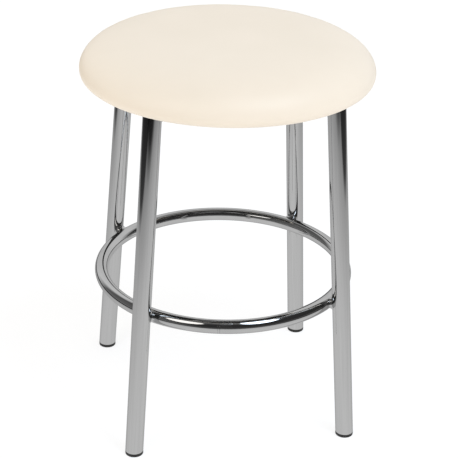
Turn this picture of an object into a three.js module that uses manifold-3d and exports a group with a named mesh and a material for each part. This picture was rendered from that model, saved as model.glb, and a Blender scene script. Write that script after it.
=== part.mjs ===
import * as THREE from 'three';
import { mergeVertices } from 'three/addons/utils/BufferGeometryUtils.js';
import Module from 'manifold-3d';

// A low round stool: four leaning chromed tube legs, a foot ring welded inside them,
// a crossed pair of rails under the seat, and a padded leatherette seat screwed on top.
// Millimetres and degrees, +Z up, the origin on the floor below the middle of the seat.

const wasm = await Module();
wasm.setup();

// Fits that the whole stool shares
const FIT_GAP = 0.3;
const CUT_OVERRUN = 5;

// Legs: the radius is from the stool's axis to the tube's axis at floor level
const LEG_DIAMETER = 22;
const LEG_WALL = 1.2;
const LEG_LEAN_DEGREES = 4.9;
const LEG_FOOT_RADIUS = 187.5;

// Height of the welded frame, where the seat sits
const FRAME_HEIGHT = 436.3;

// Foot glides: a pad under the tube and a finned plug inside it
const GLIDE_HEIGHT = 4;
const GLIDE_EDGE_RADIUS = 2.2;
const PLUG_LENGTH = 18;
const PLUG_CORE_DIAMETER = 15;
const PLUG_FIN_COUNT = 2;

// Foot ring: one bent tube whose ends meet at a butt seam
const RING_TUBE_DIAMETER = 17;
const RING_WALL = 1;
const RING_HEIGHT = 177.7;
const RING_SEAM_DEGREES = -97;
const RING_SEAM_GAP = 0.4;

// Weld metal
const RING_WELD_REACH = 11;
const RING_WELD_HEIGHT = 9;
const RING_WELD_DEPTH = 6;
const BEAD_SIZE = 2.5;

// Cross rails: rectangular tube, one whole and two halves
const RAIL_WIDTH = 20;
const RAIL_DEPTH = 10;
const RAIL_WALL = 1.5;
const RAIL_CORNER_RADIUS = 2;

// Seat fixings: screws from below into tee nuts in the board, each a share of the way out to its leg
const SCREW_PLACE_SHARE = 0.63;
const SCREW_DIAMETER = 6;
const SCREW_SETBACK = 3.2;
const HEAD_RIM = 3;
const HEAD_HEIGHT = 4.2;
const RECESS_SPAN = 6;
const RECESS_WIDTH = 1.4;
const RECESS_DEPTH = 2.6;
const WASHER_RIM = 3.7;
const WASHER_THICKNESS = 1.6;
const TEE_NUT_WALL = 0.6;
const TEE_NUT_RIM = 5.6;
const TEE_NUT_FLANGE_THICKNESS = 1.2;
const TEE_NUT_SETBACK = 2.2;

// Seat: the widest line runs a little below the board's top, and the cover's lower edge
// draws in by the tuck before it folds in under the board
const SEAT_RADIUS = 176;
const SEAT_TUCK = 5.9;
const WIDEST_DROP = 2.1;
const FOAM_THICKNESS = 32.3;
const COVER_THICKNESS = 1;
const COVER_FOLD = 22;
const BOARD_MARGIN = 2.1;
const BOARD_THICKNESS = 10;
const BOARD_EDGE_RADIUS = 1.5;

// Powers of the seat's dome, across and up
const CROWN_POWER = 5.8;
const SHOULDER_POWER = 1.83;

// A rail's corners round off at most this share of its depth
const CORNER_LIMIT_SHARE = 0.4;

// Facets
const LEG_SIDES = 32;
const GLIDE_SIDES = 20;
const PLUG_SIDES = 16;
const RING_STEPS = 56;
const RING_SIDES = 14;
const RING_BORE_SIDES = 8;
const CUTTER_STEPS = 112;
const CUTTER_SIDES = 16;
const WELD_SIDES = 12;
const WELD_ROWS = 8;
const FIXING_SIDES = 16;
const SEAT_SIDES = 48;
const DOME_STEPS = 8;
const ARC_STEPS = 3;

// Sizes that follow
const LEG_RADIUS = LEG_DIAMETER / 2;
const LEG_BORE_RADIUS = LEG_RADIUS - LEG_WALL;
const LEG_LEAN = THREE.MathUtils.degToRad(LEG_LEAN_DEGREES);
const RING_TUBE_RADIUS = RING_TUBE_DIAMETER / 2;
const RING_RADIUS =
  legAxisRadius(RING_HEIGHT) - (LEG_RADIUS + RING_TUBE_RADIUS + FIT_GAP) / Math.cos(LEG_LEAN);
const RAIL_BOTTOM = FRAME_HEIGHT - RAIL_DEPTH;
const RAIL_CORNER = Math.min(RAIL_CORNER_RADIUS, CORNER_LIMIT_SHARE * RAIL_DEPTH);
const RAIL_REACH = legAxisRadius(FRAME_HEIGHT) - LEG_RADIUS / 2;
const FOAM_INSET = COVER_THICKNESS + FIT_GAP;
const SEAT_BOTTOM = FRAME_HEIGHT + FIT_GAP;
const BOARD_BOTTOM = SEAT_BOTTOM + FOAM_INSET;
const BOARD_TOP = BOARD_BOTTOM + BOARD_THICKNESS;
const BOARD_RADIUS = SEAT_RADIUS - SEAT_TUCK - BOARD_MARGIN;
const SEAT_WIDEST = BOARD_TOP - WIDEST_DROP;
const SEAT_SKIRT = SEAT_WIDEST - SEAT_BOTTOM;
const SEAT_RISE = WIDEST_DROP + FIT_GAP + FOAM_THICKNESS + FOAM_INSET;
const SCREW_PLACE = SCREW_PLACE_SHARE * legAxisRadius(FRAME_HEIGHT);
const SCREW_HOLE_RADIUS = SCREW_DIAMETER / 2 + FIT_GAP;
const SCREW_SEAT = RAIL_BOTTOM - WASHER_THICKNESS;
const BARREL_RADIUS = SCREW_HOLE_RADIUS + TEE_NUT_WALL;
const FLANGE_RADIUS = BARREL_RADIUS + TEE_NUT_RIM;

const FINISHES = {
  chrome: { color: 0xc4c6c8, roughness: 0.08, metalness: 1 },
  zinc: { color: 0xa9abad, roughness: 0.35, metalness: 1 },
  plastic: { color: 0x1a1a1b, roughness: 0.55, metalness: 0 },
  leatherette: { color: 0xf6ecdb, roughness: 0.45, metalness: 0 },
  foam: { color: 0xe9d9a6, roughness: 0.95, metalness: 0 },
  plywood: { color: 0xc9a36f, roughness: 0.75, metalness: 0 },
};

const CORNERS = [
  { name: 'front_left', degrees: -135 },
  { name: 'front_right', degrees: -45 },
  { name: 'rear_right', degrees: 45 },
  { name: 'rear_left', degrees: 135 },
];

// Distance of a leg's axis from the stool's axis at a height
function legAxisRadius(height) {
  return LEG_FOOT_RADIUS - height * Math.tan(THREE.MathUtils.degToRad(LEG_LEAN_DEGREES));
}

// A closed geometry as a solid that can be joined and cut
function solidFrom(geometry) {
  const bare = new THREE.BufferGeometry();
  bare.setAttribute('position', geometry.getAttribute('position'));
  bare.setIndex(geometry.getIndex());
  const merged = mergeVertices(bare);
  const corners = merged.getIndex().array;
  const triangles = [];
  for (let i = 0; i < corners.length; i += 3) {
    const [a, b, c] = [corners[i], corners[i + 1], corners[i + 2]];
    if (a !== b && b !== c && c !== a) {
      triangles.push(a, b, c);
    }
  }
  return new wasm.Manifold(
    new wasm.Mesh({
      numProp: 3,
      vertProperties: new Float32Array(merged.getAttribute('position').array),
      triVerts: new Uint32Array(triangles),
    }),
  );
}

// A solid back as a geometry
function geometryFrom(solid) {
  const mesh = solid.getMesh();
  const geometry = new THREE.BufferGeometry();
  geometry.setAttribute('position', new THREE.BufferAttribute(new Float32Array(mesh.vertProperties), 3));
  geometry.setIndex(new THREE.BufferAttribute(new Uint32Array(mesh.triVerts), 1));
  geometry.computeVertexNormals();
  return geometry;
}

// Profile points are [radius, height], anticlockwise, turned about the Z axis
function turned(profile, sides) {
  const points = profile.map(([radius, height]) => new THREE.Vector2(radius, height));
  return new THREE.LatheGeometry(points, sides).rotateX(Math.PI / 2);
}

// A quarter of an ellipse about [centreRadius, centreHeight] as profile points
function quarterArc(centreRadius, centreHeight, across, up, fromDegrees, steps) {
  const points = [];
  for (let step = 0; step <= steps; step += 1) {
    const angle = THREE.MathUtils.degToRad(fromDegrees + (90 * step) / steps);
    points.push([centreRadius + across * Math.cos(angle), centreHeight + up * Math.sin(angle)]);
  }
  return points;
}

// A solid rod from one height to another
function rod(radius, low, high, sides) {
  return new THREE.CylinderGeometry(radius, radius, high - low, sides)
    .rotateX(Math.PI / 2)
    .translate(0, 0, (low + high) / 2);
}

// Everything between two heights, as wide as the stool
function slab(low, high) {
  const span = 2 * (LEG_FOOT_RADIUS + LEG_DIAMETER + SEAT_RADIUS);
  return new THREE.BoxGeometry(span, span, high - low).translate(0, 0, (low + high) / 2);
}

// A rounded rectangle, as an outline for a rail or for its bore
function roundedRectangle(width, depth, corner) {
  const [x, y] = [width / 2 - corner, depth / 2 - corner];
  const shape = new THREE.Shape();
  shape.absarc(x, y, corner, 0, Math.PI / 2);
  shape.absarc(-x, y, corner, Math.PI / 2, Math.PI);
  shape.absarc(-x, -y, corner, Math.PI, 1.5 * Math.PI);
  shape.absarc(x, -y, corner, 1.5 * Math.PI, 2 * Math.PI);
  shape.closePath();
  return shape;
}

// In a corner's own frame the leg stands on +X and leans back towards the axis
function alongLeg(geometry, height) {
  return geometry.rotateY(-LEG_LEAN).translate(legAxisRadius(height), 0, height);
}

function legRod(radius) {
  const reach = FRAME_HEIGHT / 2 / Math.cos(LEG_LEAN) + LEG_DIAMETER + CUT_OVERRUN;
  return alongLeg(rod(radius, -reach, reach, LEG_SIDES), FRAME_HEIGHT / 2);
}

function makeLeg() {
  const tube = solidFrom(legRod(LEG_RADIUS)).subtract(solidFrom(legRod(LEG_BORE_RADIUS)));
  return tube.intersect(solidFrom(slab(GLIDE_HEIGHT + FIT_GAP, FRAME_HEIGHT)));
}

// The pad lies flat on the floor, and the plug follows the leaning tube
function makeGlide() {
  const edge = Math.min(GLIDE_EDGE_RADIUS, GLIDE_HEIGHT - FIT_GAP);
  const pad = turned(
    [
      [0, 0],
      ...quarterArc(LEG_RADIUS - edge, edge, edge, edge, -90, ARC_STEPS),
      [LEG_RADIUS, GLIDE_HEIGHT],
      [0, GLIDE_HEIGHT],
    ],
    GLIDE_SIDES,
  ).translate(legAxisRadius(GLIDE_HEIGHT), 0, 0);

  const finRadius = LEG_BORE_RADIUS - FIT_GAP;
  const coreRadius = Math.min(PLUG_CORE_DIAMETER / 2, finRadius);
  const root = GLIDE_HEIGHT / 2;
  const pitch = PLUG_LENGTH / (PLUG_FIN_COUNT + 1);
  const profile = [[0, 0], [coreRadius, 0]];
  for (let fin = 1; fin <= PLUG_FIN_COUNT; fin += 1) {
    const height = root + fin * pitch;
    profile.push([coreRadius, height], [finRadius, height], [coreRadius, height + pitch / 2]);
  }
  profile.push([coreRadius, root + PLUG_LENGTH], [0, root + PLUG_LENGTH]);
  return solidFrom(pad).add(solidFrom(alongLeg(turned(profile, PLUG_SIDES), root)));
}

// The ring's centre line, from one side of the seam round to the other
class RingLine extends THREE.Curve {
  getPoint(share, target = new THREE.Vector3()) {
    const seam = THREE.MathUtils.degToRad(RING_SEAM_DEGREES);
    const halfGap = RING_SEAM_GAP / 2 / RING_RADIUS;
    const angle = seam + halfGap + share * 2 * (Math.PI - halfGap);
    return target.set(RING_RADIUS * Math.cos(angle), RING_RADIUS * Math.sin(angle), RING_HEIGHT);
  }
}

function circlePoints(radius, sides) {
  const points = [];
  for (let side = 0; side < sides; side += 1) {
    const angle = (2 * Math.PI * side) / sides;
    points.push(new THREE.Vector2(radius * Math.cos(angle), radius * Math.sin(angle)));
  }
  return points;
}

function makeRing() {
  const section = new THREE.Shape(circlePoints(RING_TUBE_RADIUS, RING_SIDES));
  section.holes.push(new THREE.Path(circlePoints(RING_TUBE_RADIUS - RING_WALL, RING_BORE_SIDES)));
  const bend = { steps: RING_STEPS, bevelEnabled: false, extrudePath: new RingLine() };
  return solidFrom(new THREE.ExtrudeGeometry(section, bend));
}

// Weld metal round the point where the ring touches a leg
function makeRingWeld() {
  const out = RING_RADIUS + RING_TUBE_RADIUS * Math.cos(LEG_LEAN);
  const up = RING_HEIGHT + RING_TUBE_RADIUS * Math.sin(LEG_LEAN);
  const blob = new THREE.SphereGeometry(1, WELD_SIDES, WELD_ROWS)
    .scale(RING_WELD_DEPTH, RING_WELD_REACH, RING_WELD_HEIGHT)
    .rotateY(-LEG_LEAN)
    .translate(out, 0, up);
  const ring = new THREE.TorusGeometry(RING_RADIUS, RING_TUBE_RADIUS + FIT_GAP, CUTTER_SIDES, CUTTER_STEPS)
    .translate(0, 0, RING_HEIGHT);
  return solidFrom(blob).subtract(solidFrom(ring)).subtract(solidFrom(legRod(LEG_RADIUS + FIT_GAP)));
}

// A length of rounded bar along +X, its middle at a height
function railBlock(from, to, width, depth, corner, middleHeight) {
  return new THREE.ExtrudeGeometry(roundedRectangle(width, depth, corner), {
    depth: to - from,
    bevelEnabled: false,
    curveSegments: 1,
  })
    .rotateX(Math.PI / 2)
    .rotateZ(Math.PI / 2)
    .translate(from, 0, middleHeight);
}

function railTube(from, to) {
  const middle = FRAME_HEIGHT - RAIL_DEPTH / 2;
  const outside = railBlock(from, to, RAIL_WIDTH, RAIL_DEPTH, RAIL_CORNER, middle);
  const bore = railBlock(
    from - CUT_OVERRUN,
    to + CUT_OVERRUN,
    RAIL_WIDTH - 2 * RAIL_WALL,
    RAIL_DEPTH - 2 * RAIL_WALL,
    Math.max(RAIL_CORNER - RAIL_WALL, FIT_GAP),
    middle,
  );
  return solidFrom(outside).subtract(solidFrom(bore));
}

function screwHole() {
  return rod(SCREW_HOLE_RADIUS, RAIL_BOTTOM - CUT_OVERRUN, FRAME_HEIGHT + CUT_OVERRUN, FIXING_SIDES)
    .translate(SCREW_PLACE, 0, 0);
}

// Rails are coped round the legs, and reach half the leg's radius past its near side
function makeLongRail() {
  let rail = railTube(-RAIL_REACH, RAIL_REACH);
  for (const turn of [0, Math.PI]) {
    rail = rail
      .subtract(solidFrom(legRod(LEG_RADIUS + FIT_GAP).rotateZ(turn)))
      .subtract(solidFrom(screwHole().rotateZ(turn)));
  }
  return rail;
}

function makeHalfRail() {
  return railTube(RAIL_WIDTH / 2 + FIT_GAP, RAIL_REACH)
    .subtract(solidFrom(legRod(LEG_RADIUS + FIT_GAP)))
    .subtract(solidFrom(screwHole()));
}

// A bead that runs under the end of a rail and up both its sides, against the leg
function makeLegBead() {
  const from = legAxisRadius(RAIL_BOTTOM) - LEG_RADIUS - BEAD_SIZE;
  const collar = solidFrom(legRod(LEG_RADIUS + BEAD_SIZE));
  const [wide, deep] = [RAIL_WIDTH + 2 * BEAD_SIZE, RAIL_DEPTH + BEAD_SIZE];
  const band = railBlock(from, RAIL_REACH, wide, deep, BEAD_SIZE, FRAME_HEIGHT - deep / 2);
  const tall = RAIL_DEPTH + 2 * CUT_OVERRUN;
  const rail = railBlock(
    from - CUT_OVERRUN,
    RAIL_REACH + CUT_OVERRUN,
    RAIL_WIDTH + 2 * FIT_GAP,
    tall,
    RAIL_CORNER + FIT_GAP,
    RAIL_BOTTOM - FIT_GAP + tall / 2,
  );
  return collar
    .intersect(solidFrom(band))
    .subtract(solidFrom(rail))
    .subtract(solidFrom(legRod(LEG_RADIUS + FIT_GAP)));
}

// A fillet up the inside corner between the long rail and a half rail
function makeCrossBead() {
  const fillet = new THREE.Shape([
    new THREE.Vector2(FIT_GAP, FIT_GAP),
    new THREE.Vector2(FIT_GAP + BEAD_SIZE, FIT_GAP),
    new THREE.Vector2(FIT_GAP, FIT_GAP + BEAD_SIZE),
  ]);
  const run = { depth: RAIL_DEPTH - 2 * RAIL_CORNER, bevelEnabled: false };
  return solidFrom(new THREE.ExtrudeGeometry(fillet, run));
}

// Pan head screw, its head's bearing face at zero and its shank upwards
function makeScrew() {
  const shankRadius = SCREW_DIAMETER / 2;
  const length = BOARD_TOP - SCREW_SETBACK - SCREW_SEAT;
  const body = turned(
    [
      [0, -HEAD_HEIGHT],
      ...quarterArc(0, 0, shankRadius + HEAD_RIM, HEAD_HEIGHT, -90, ARC_STEPS).slice(1),
      [shankRadius, 0],
      [shankRadius, length - shankRadius / 2],
      [shankRadius / 2, length],
      [0, length],
    ],
    FIXING_SIDES,
  );
  const slotHeight = RECESS_DEPTH + CUT_OVERRUN;
  const slotMiddle = -HEAD_HEIGHT + RECESS_DEPTH - slotHeight / 2;
  const slot = new THREE.BoxGeometry(RECESS_SPAN, RECESS_WIDTH, slotHeight).translate(0, 0, slotMiddle);
  const cross = new THREE.BoxGeometry(RECESS_WIDTH, RECESS_SPAN, slotHeight).translate(0, 0, slotMiddle);
  return solidFrom(body).subtract(solidFrom(slot)).subtract(solidFrom(cross));
}

function makeWasher() {
  const [bore, edge, top] = [SCREW_HOLE_RADIUS, SCREW_HOLE_RADIUS + WASHER_RIM, WASHER_THICKNESS];
  return solidFrom(turned([[bore, 0], [edge, 0], [edge, top], [bore, top], [bore, 0]], FIXING_SIDES));
}

// Tee nut, the underside of its flange at zero and its barrel downwards
function makeTeeNut() {
  const [low, high] = [TEE_NUT_SETBACK - BOARD_THICKNESS, TEE_NUT_FLANGE_THICKNESS];
  return solidFrom(
    turned(
      [
        [SCREW_HOLE_RADIUS, low],
        [BARREL_RADIUS, low],
        [BARREL_RADIUS, 0],
        [FLANGE_RADIUS, 0],
        [FLANGE_RADIUS, high],
        [SCREW_HOLE_RADIUS, high],
        [SCREW_HOLE_RADIUS, low],
      ],
      FIXING_SIDES,
    ),
  );
}

// A rod of the given radius at each screw, for cutting the seat's pieces
function atEachScrew(radius, low, high) {
  return CORNERS.map(({ degrees }) =>
    solidFrom(
      rod(radius, low, high, FIXING_SIDES)
        .translate(SCREW_PLACE, 0, 0)
        .rotateZ(THREE.MathUtils.degToRad(degrees)),
    ),
  );
}

function makeBoard() {
  const edge = Math.min(BOARD_EDGE_RADIUS, BOARD_THICKNESS / 2);
  const profile = [
    [0, BOARD_BOTTOM],
    ...quarterArc(BOARD_RADIUS - edge, BOARD_BOTTOM + edge, edge, edge, -90, ARC_STEPS),
    ...quarterArc(BOARD_RADIUS - edge, BOARD_TOP - edge, edge, edge, 0, ARC_STEPS),
    [0, BOARD_TOP],
  ];
  const holes = atEachScrew(BARREL_RADIUS + FIT_GAP, BOARD_BOTTOM - CUT_OVERRUN, BOARD_TOP + CUT_OVERRUN);
  return holes.reduce((board, hole) => board.subtract(hole), solidFrom(turned(profile, SEAT_SIDES)));
}

// The seat's surface moved in by an inset, from the lower edge over the widest line to the crown
function seatSurface(inset) {
  const [radius, rise] = [SEAT_RADIUS - inset, SEAT_RISE - inset];
  const points = quarterArc(
    SEAT_RADIUS - SEAT_TUCK, SEAT_WIDEST, SEAT_TUCK - inset, SEAT_SKIRT - inset, -90, ARC_STEPS,
  );
  for (let step = 1; step < DOME_STEPS; step += 1) {
    const angle = (Math.PI / 2) * (step / DOME_STEPS);
    points.push([
      radius * Math.cos(angle) ** (2 / CROWN_POWER),
      SEAT_WIDEST + rise * Math.sin(angle) ** (2 / SHOULDER_POWER),
    ]);
  }
  points.push([0, SEAT_WIDEST + rise]);
  return points;
}

// Foam over the board and down round its edge, with room for the tee nuts' flanges
function makeFoam() {
  const foot = BOARD_TOP + FIT_GAP;
  const wall = BOARD_RADIUS + FIT_GAP;
  const profile = [[0, foot], [wall, foot], [wall, BOARD_BOTTOM], ...seatSurface(FOAM_INSET)];
  const roof = BOARD_TOP + TEE_NUT_FLANGE_THICKNESS + FIT_GAP;
  const pockets = atEachScrew(FLANGE_RADIUS + FIT_GAP, foot - CUT_OVERRUN, roof);
  return pockets.reduce((foam, pocket) => foam.subtract(pocket), solidFrom(turned(profile, SEAT_SIDES)));
}

// Cover: a skin over the foam, folded in under the board
function makeCover() {
  const foldRadius = SEAT_RADIUS - SEAT_TUCK - COVER_FOLD;
  const profile = [
    [foldRadius, SEAT_BOTTOM],
    ...seatSurface(0),
    ...seatSurface(COVER_THICKNESS).reverse(),
    [foldRadius, SEAT_BOTTOM + COVER_THICKNESS],
    [foldRadius, SEAT_BOTTOM],
  ];
  return solidFrom(turned(profile, SEAT_SIDES));
}

function addPiece(group, name, solid, finish) {
  const piece = new THREE.Mesh(geometryFrom(solid), new THREE.MeshStandardMaterial(FINISHES[finish]));
  piece.name = name;
  group.add(piece);
  return piece;
}

const stool = new THREE.Group();

// What repeats at each leg stands in a group turned to that corner
for (const { name, degrees } of CORNERS) {
  const corner = new THREE.Group();
  corner.rotation.z = THREE.MathUtils.degToRad(degrees);
  stool.add(corner);
  addPiece(corner, `leg_${name}`, makeLeg(), 'chrome');
  addPiece(corner, `foot_glide_${name}`, makeGlide(), 'plastic');
  addPiece(corner, `ring_weld_${name}`, makeRingWeld(), 'chrome');
  addPiece(corner, `rail_weld_${name}`, makeLegBead(), 'chrome');
  addPiece(corner, `washer_${name}`, makeWasher(), 'zinc').position.set(SCREW_PLACE, 0, SCREW_SEAT);
  addPiece(corner, `seat_screw_${name}`, makeScrew(), 'zinc').position.set(SCREW_PLACE, 0, SCREW_SEAT);
  addPiece(corner, `tee_nut_${name}`, makeTeeNut(), 'zinc').position.set(SCREW_PLACE, 0, BOARD_TOP);
}

addPiece(stool, 'foot_ring', makeRing(), 'chrome');

// The long rail joins the front left and rear right legs, and each half rail one of the others
const railCross = new THREE.Group();
railCross.rotation.z = THREE.MathUtils.degToRad(CORNERS[2].degrees);
stool.add(railCross);
addPiece(railCross, 'cross_rail_long', makeLongRail(), 'chrome');
addPiece(railCross, 'cross_rail_half_left', makeHalfRail(), 'chrome').rotation.z = Math.PI / 2;
addPiece(railCross, 'cross_rail_half_right', makeHalfRail(), 'chrome').rotation.z = -Math.PI / 2;

const CROSS_BEADS = ['rear', 'left', 'front', 'right'];
CROSS_BEADS.forEach((side, index) => {
  const quadrant = new THREE.Group();
  quadrant.rotation.z = (index * Math.PI) / 2;
  railCross.add(quadrant);
  addPiece(quadrant, `cross_weld_${side}`, makeCrossBead(), 'chrome')
    .position.set(RAIL_WIDTH / 2, RAIL_WIDTH / 2, RAIL_BOTTOM + RAIL_CORNER);
});

addPiece(stool, 'seat_board', makeBoard(), 'plywood');
addPiece(stool, 'seat_foam', makeFoam(), 'foam');
addPiece(stool, 'seat_cover', makeCover(), 'leatherette');

export default stool;
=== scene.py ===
"""A low round stool: a padded leatherette seat on four leaning chromed legs joined by a foot ring.

Metres, +Z up: the floor is at zero, the seat's middle is over the origin, and the legs stand on the
diagonals between the X and Y axes. In a corner's own frame its leg stands on +X.
"""

import math
import random

import bmesh
import bpy
import numpy as np
from mathutils import Matrix, Vector


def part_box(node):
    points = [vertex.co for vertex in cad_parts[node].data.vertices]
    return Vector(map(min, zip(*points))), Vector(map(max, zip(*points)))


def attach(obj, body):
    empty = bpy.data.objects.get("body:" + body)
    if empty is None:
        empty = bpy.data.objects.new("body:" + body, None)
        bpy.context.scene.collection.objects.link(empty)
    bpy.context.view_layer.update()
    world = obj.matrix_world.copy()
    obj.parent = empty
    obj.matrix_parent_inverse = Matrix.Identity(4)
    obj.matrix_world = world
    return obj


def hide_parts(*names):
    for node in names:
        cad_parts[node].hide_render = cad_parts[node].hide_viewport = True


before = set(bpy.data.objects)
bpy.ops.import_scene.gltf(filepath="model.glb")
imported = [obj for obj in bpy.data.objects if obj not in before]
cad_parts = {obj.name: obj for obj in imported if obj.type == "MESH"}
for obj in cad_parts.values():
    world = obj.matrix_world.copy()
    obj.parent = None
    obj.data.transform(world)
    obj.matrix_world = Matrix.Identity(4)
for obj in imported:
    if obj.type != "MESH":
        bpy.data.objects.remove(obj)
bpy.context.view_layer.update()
scene = bpy.context.scene
chance = random.Random(11)

MM = 0.001
CORNERS = {"front_left": -135, "front_right": -45, "rear_right": 45, "rear_left": 135}
CROSS_WELDS = {"rear": 45, "left": 135, "front": 225, "right": 315}
SAME_LEVEL = 0.01 * MM
SHARP_EDGE_DEGREES = 35

# Camera: fitted to the legs, the ring and the seat of the photograph, 458 pixels across
PHOTO_PIXELS = 458
CAMERA_FOCAL_PIXELS = 1556.9
CAMERA_DISTANCE = 1.9408
CAMERA_ELEVATION = 26.255
CAMERA_ROLL = 1.423
CAMERA_TURN = -11.729
CAMERA_AIM_ASIDE = 0.00622
CAMERA_AIM_HEIGHT = 0.23046
SENSOR_WIDTH = 36

# Tubes
LEG_RADIUS = 11 * MM
LEG_WALL = 1.2 * MM
RING_TUBE_RADIUS = 8.5 * MM
RING_HEIGHT = 177.7 * MM
TUBE_EDGE = 0.3 * MM
TUBE_SUPPORT = 2 * MM
TUBE_SIDES = 96
RING_SIDES = 56
RING_STEPS = 400

# The ring's butt seam
RING_SEAM_DEGREES = -97
SEAM_LENGTH_DEGREES = 5.9
SEAM_RIDGE = 0.02 * MM
SEAM_SHARPNESS = 0.3 * MM
SEAM_CROWD_DEGREES = 0.6
SEAM_CROWD_STEPS = 25

# Welds
FILLET_RADIUS = 3 * MM
WELD_SKIN = 0.3 * MM
WELD_COLUMNS = 120
WELD_ARC_STEPS = 12
WELD_CREST = 0.15 * MM
WELD_RIPPLE = 0.08 * MM
WELD_RIPPLE_COUNT = 24
WELD_SWELLS = {3: 0.10, 5: 0.06}  # waves round the fillet, and how much each adds to its radius
BEAD_RADIUS = 2.3 * MM
BEAD_SIDES = 16
BEAD_SCALE_DEPTH = 0.12
BEAD_TAPER = 1.6
BEAD_TIP = 0.02
RAIL_BEAD_SCALES = 22
CROSS_BEAD_SCALES = 5
CROSS_BEAD_INSET = 1 * MM

# Glides
GLIDE_EDGE = 1.1 * MM
GLIDE_STEP = 0.35 * MM
GLIDE_GAP = 0.3 * MM
PLUG_CLEARANCE = 0.2 * MM
PLUG_EDGE = 1 * MM

# Rails and fixings under the seat
RAIL_WIDTH = 20 * MM
RAIL_DEPTH = 10 * MM
RAIL_WALL = 1.5 * MM
RAIL_CORNER = 2 * MM
SCREW_RADIUS = 3 * MM
SCREW_POINT = 1 * MM
SCREW_HOLE_RADIUS = SCREW_RADIUS + 0.3 * MM
HEAD_RADIUS = 6 * MM
HEAD_HEIGHT = 4.2 * MM
HEAD_RIM = 0.8 * MM
HEAD_EDGE = 0.2 * MM
RECESS_SPAN = 6 * MM
RECESS_WIDTH = 1.3 * MM
RECESS_DEPTH = 2.6 * MM
# Heights above a head's tip, and how much of each arm is left there across and along
RECESS_LEVELS = ((-1 * MM, 1.1, 1.1), (0.35 * RECESS_DEPTH, 0.9, 0.9), (RECESS_DEPTH, 0.5, 0.7))
WASHER_EDGE = 0.35 * MM
WASHER_SUPPORT = 1.2 * WASHER_EDGE
FIXING_SIDES = 64
DRILL_SIDES = 48

# Seat cover
SEAT_TUCK = 5.9 * MM
SEAT_SKIRT = 9.2 * MM
COVER_FOLD = 22 * MM
COVER_THICKNESS = 0.9 * MM
CROWN_POWER = 5.8
SHOULDER_POWER = 1.83
SEAT_SECTORS = 216
SEAT_ROW_STEP = 4 * MM
SEAT_SWELL = 2.5 * MM
SEAT_UNEVENNESS = 0.3 * MM
INFLATING_FRAMES = 20
CAP_RADIUS = 60 * MM
CAP_RINGS = SEAT_SECTORS // 8
PLEAT_COUNT = 46
PLEAT_DEPTH = 0.75 * MM
PLEAT_STRAY = 0.3
PLEAT_RISE_POWER = 1.5
PLEAT_FADE_POWER = 0.6

# Dust cloth and staples
DUST_CLOTH_RADIUS = 167.5 * MM
DUST_CLOTH_GAP = 0.02 * MM
DUST_CLOTH_THICKNESS = 0.18 * MM
DUST_CLOTH_RINGS = 30
DUST_CLOTH_SIDES = 180
DUST_CLOTH_HOLE_RADIUS = SCREW_RADIUS + 0.5 * MM
STAPLE_COUNT = 36
STAPLE_INSET = 15 * MM
STAPLE_SPAN = 9 * MM
STAPLE_RISE = 2 * MM
STAPLE_CORNER = 0.8 * MM
STAPLE_WIRE_RADIUS = 0.4 * MM
STAPLE_WIRE_SIDES = 10
STAPLE_DROP = 0.6 * STAPLE_WIRE_RADIUS
STAPLE_TILT_DEGREES = 14
STAPLE_STRAY_DEGREES = 0.8
LEG_KEEPS_CLEAR_DEGREES = 8


# Sizes that follow from the frame

def middle_at(node, height):
    """The middle of a node's points at one height."""
    points = [v.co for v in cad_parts[node].data.vertices if abs(v.co.z - height) < SAME_LEVEL]
    low = Vector((min(p.x for p in points), min(p.y for p in points), height))
    high = Vector((max(p.x for p in points), max(p.y for p in points), height))
    return (low + high) / 2


leg_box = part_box("leg_front_left")
LEG_LOW = leg_box[0].z
LEG_HIGH = leg_box[1].z
LEG_LOW_OUT = middle_at("leg_front_left", LEG_LOW).xy.length
LEG_HIGH_OUT = middle_at("leg_front_left", LEG_HIGH).xy.length
LEG_LEAN = math.atan((LEG_LOW_OUT - LEG_HIGH_OUT) / (LEG_HIGH - LEG_LOW))
LEG_UP = Vector((-math.sin(LEG_LEAN), 0, math.cos(LEG_LEAN)))
LEG_OUT = Vector((math.cos(LEG_LEAN), 0, math.sin(LEG_LEAN)))

seat_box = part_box("seat_cover")
SEAT_RADIUS = (seat_box[1].x - seat_box[0].x) / 2
SEAT_BOTTOM = seat_box[0].z
SEAT_WIDEST = SEAT_BOTTOM + SEAT_SKIRT
SEAT_RISE = seat_box[1].z - SEAT_WIDEST
FOLD_RADIUS = SEAT_RADIUS - SEAT_TUCK - COVER_FOLD

rail_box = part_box("cross_rail_long")
RAIL_BOTTOM = rail_box[0].z
RAIL_MIDDLE = (rail_box[0].z + rail_box[1].z) / 2


def leg_out(height):
    """How far a leg's axis is from the stool's axis at a height."""
    return LEG_LOW_OUT - (height - LEG_LOW) * math.tan(LEG_LEAN)


RING_RADIUS = leg_out(RING_HEIGHT) - (LEG_RADIUS + RING_TUBE_RADIUS) / math.cos(LEG_LEAN)


# Meshes

def add_mesh(name, points, faces):
    mesh = bpy.data.meshes.new(name)
    mesh.from_pydata([tuple(p) for p in points], [], faces)
    mesh.update()
    mesh.validate()
    mesh.shade_smooth()
    piece = bpy.data.objects.new(name, mesh)
    scene.collection.objects.link(piece)
    return piece


def skin(name, rows, joined=False, first=None, last=None):
    """A surface over rows of points that each close round. It joins the last row to the first, or
    closes an end on a point."""
    count = len(rows[0])
    points = [p for row in rows for p in row]
    faces = []
    spans = len(rows) if joined else len(rows) - 1
    for i in range(spans):
        a, b = i * count, (i + 1) % len(rows) * count
        for j in range(count):
            k = (j + 1) % count
            faces.append((a + j, a + k, b + k, b + j))
    for end, start in ((first, 0), (last, (len(rows) - 1) * count)):
        if end is None:
            continue
        tip = len(points)
        points.append(end)
        for j in range(count):
            k = (j + 1) % count
            face = (start + k, start + j, tip)
            faces.append(face if end is first else face[::-1])
    return add_mesh(name, points, faces)


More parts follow.
